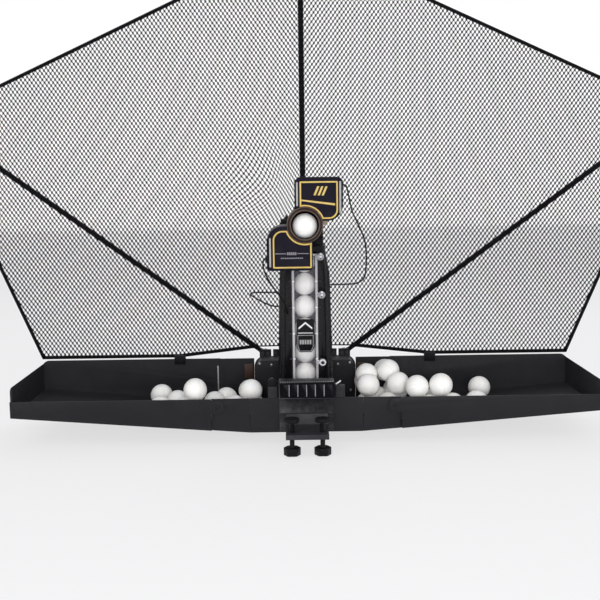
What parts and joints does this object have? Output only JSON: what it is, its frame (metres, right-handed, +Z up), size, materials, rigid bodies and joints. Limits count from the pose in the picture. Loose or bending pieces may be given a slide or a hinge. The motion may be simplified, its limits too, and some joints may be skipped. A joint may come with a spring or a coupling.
{
  "type": "table tennis robot",
  "caption": "Table tennis robot that hooks on the end of a table: ball column, two-wheel throwing head, folding ball trays and a net on rods.",
  "frame": {"origin": "middle of the hook's underside, where it rests on the table top", "axes": "+X to the right seen by the player, +Y away from the player, +Z up"},
  "size_m": [1.3824, 0.3026, 0.8763],
  "materials": {
    "black_plastic": "satin",
    "charcoal_plastic": "matte",
    "gloss_navy": "gloss",
    "dark_grey": "satin",
    "clear_plastic": "gloss",
    "pale_grey": "satin",
    "bronze": "satin",
    "motor_case": "brushed",
    "rubber": "matte",
    "rod_sleeve": "black sleeve",
    "tyre": "matte",
    "net_cloth": "matte",
    "celluloid": "satin",
    "beige_plastic": "satin"
  },
  "bodies": {
    "base": {"table_hook": "black_plastic", "feed_housing": "black_plastic", "power_socket": "black_plastic", "column_shell": "black_plastic", "rod_bracket_left": "black_plastic", "rod_bracket_right": "black_plastic", "rod_socket_centre": "black_plastic", "base_bin": "charcoal_plastic", "tray_left": "charcoal_plastic", "tray_right": "charcoal_plastic", "column_back": "charcoal_plastic", "clamp_arm": "dark_grey", "hook_block_left": "dark_grey", "hook_block_right": "dark_grey", "channel_cover": "clear_plastic", "channel_rim": "pale_grey", "feed_motor": "motor_case", "swivel_motor": "motor_case", "upper_motor_cable": "rubber", "lower_motor_cable": "rubber", "column_loop_cable": "rubber", "net_rod_centre": "rod_sleeve", "net_upper_left": "net_cloth", "net_upper_right": "net_cloth", "column_ball_1": "celluloid", "column_ball_2": "celluloid", "column_ball_3": "celluloid", "column_ball_4": "celluloid", "column_ball_5": "celluloid", "column_ball_6": "celluloid"},
    "head_swivel": {"head_turret": "black_plastic", "elbow_tube": "black_plastic", "tilt_pin_left": "beige_plastic", "tilt_pin_right": "beige_plastic"},
    "swivel_roller": {"swivel_roller": "rubber"},
    "head": {"head_frame": "black_plastic", "upper_housing": "black_plastic", "upper_face": "gloss_navy", "lower_housing": "black_plastic", "lower_face": "gloss_navy", "nozzle_ring": "bronze", "upper_motor": "motor_case", "lower_motor": "motor_case", "nozzle_ball": "celluloid"},
    "upper_wheel": {"upper_wheel": "tyre"},
    "lower_wheel": {"lower_wheel": "tyre"},
    "feed_wheel": {"feed_wheel": "pale_grey"},
    "wing_left": {"wing_left": "charcoal_plastic", "net_clip_left": "black_plastic"},
    "wing_right": {"wing_right": "charcoal_plastic", "net_clip_right": "black_plastic"},
    "rod_left": {"net_rod_left": "rod_sleeve", "net_lower_left": "net_cloth"},
    "rod_right": {"net_rod_right": "rod_sleeve", "net_lower_right": "net_cloth"},
    "clamp_left": {"clamp_screw_left": "black_plastic"},
    "clamp_right": {"clamp_screw_right": "black_plastic"},
    "knob_bottom": {"cover_knob_bottom": "pale_grey"},
    "knob_middle": {"cover_knob_middle": "pale_grey"},
    "knob_top": {"cover_knob_top": "pale_grey"}
  },
  "joints": [
    {"name": "head_swivel", "type": "hinge", "parent": "base", "child": "head_swivel", "pos_m": [0, 0.115, 0.25], "axis": [0, 0, 1], "range_deg": [-25, 25], "deforming": ["upper_motor_cable", "lower_motor_cable"]},
    {"name": "swivel_roller_turn", "type": "hinge", "parent": "base", "child": "swivel_roller", "pos_m": [0, 0.1583, 0.24], "axis": [0, 0, 1], "range_deg": [-160, 160]},
    {"name": "head_tilt", "type": "hinge", "parent": "head_swivel", "child": "head", "pos_m": [0, 0.07, 0.2885], "axis": [-1, 0, 0], "range_deg": [-10, 25], "deforming": ["upper_motor_cable", "lower_motor_cable"]},
    {"name": "upper_wheel_spin", "type": "hinge", "parent": "head", "child": "upper_wheel", "pos_m": [0, -0.01, 0.3315], "axis": [1, 0, 0], "continuous": true},
    {"name": "lower_wheel_spin", "type": "hinge", "parent": "head", "child": "lower_wheel", "pos_m": [0, -0.01, 0.2455], "axis": [1, 0, 0], "continuous": true},
    {"name": "feed_wheel_turn", "type": "hinge", "parent": "base", "child": "feed_wheel", "pos_m": [0, 0.153, -0.024], "axis": [1, 0, 0], "continuous": true},
    {"name": "wing_fold_left", "type": "hinge", "parent": "base", "child": "wing_left", "pos_m": [-0.15, 0.121, -0.02], "axis": [0, 1, 0], "range_deg": [0, 90]},
    {"name": "rod_fold_left", "type": "hinge", "parent": "base", "child": "rod_left", "pos_m": [-0.075, 0.2343, 0.03], "axis": [0, 1, 0], "range_deg": [0, 50], "deforming": ["net_upper_left"]},
    {"name": "clamp_slide_left", "type": "slide", "parent": "base", "child": "clamp_left", "axis": [0, 0, 1], "range_m": [-0.014, 0.005]},
    {"name": "wing_fold_right", "type": "hinge", "parent": "base", "child": "wing_right", "pos_m": [0.15, 0.121, -0.02], "axis": [0, -1, 0], "range_deg": [0, 90]},
    {"name": "rod_fold_right", "type": "hinge", "parent": "base", "child": "rod_right", "pos_m": [0.075, 0.2343, 0.03], "axis": [0, -1, 0], "range_deg": [0, 50], "deforming": ["net_upper_right"]},
    {"name": "clamp_slide_right", "type": "slide", "parent": "base", "child": "clamp_right", "axis": [0, 0, 1], "range_m": [-0.014, 0.005]},
    {"name": "knob_turn_bottom", "type": "hinge", "parent": "base", "child": "knob_bottom", "pos_m": [0.02982, 0.085, 0.041], "axis": [0, 1, 0], "range_deg": [0, 90]},
    {"name": "knob_turn_middle", "type": "hinge", "parent": "base", "child": "knob_middle", "pos_m": [0.02913, 0.085, 0.1605], "axis": [0, 1, 0], "range_deg": [0, 90]},
    {"name": "knob_turn_top", "type": "hinge", "parent": "base", "child": "knob_top", "pos_m": [0.02756, 0.085, 0.227], "axis": [0, 1, 0], "range_deg": [0, 90]}
  ],
  "couplings": [
    {"joint": "swivel_roller_turn", "follows": "head_swivel", "ratio": -6.1667}
  ]
}
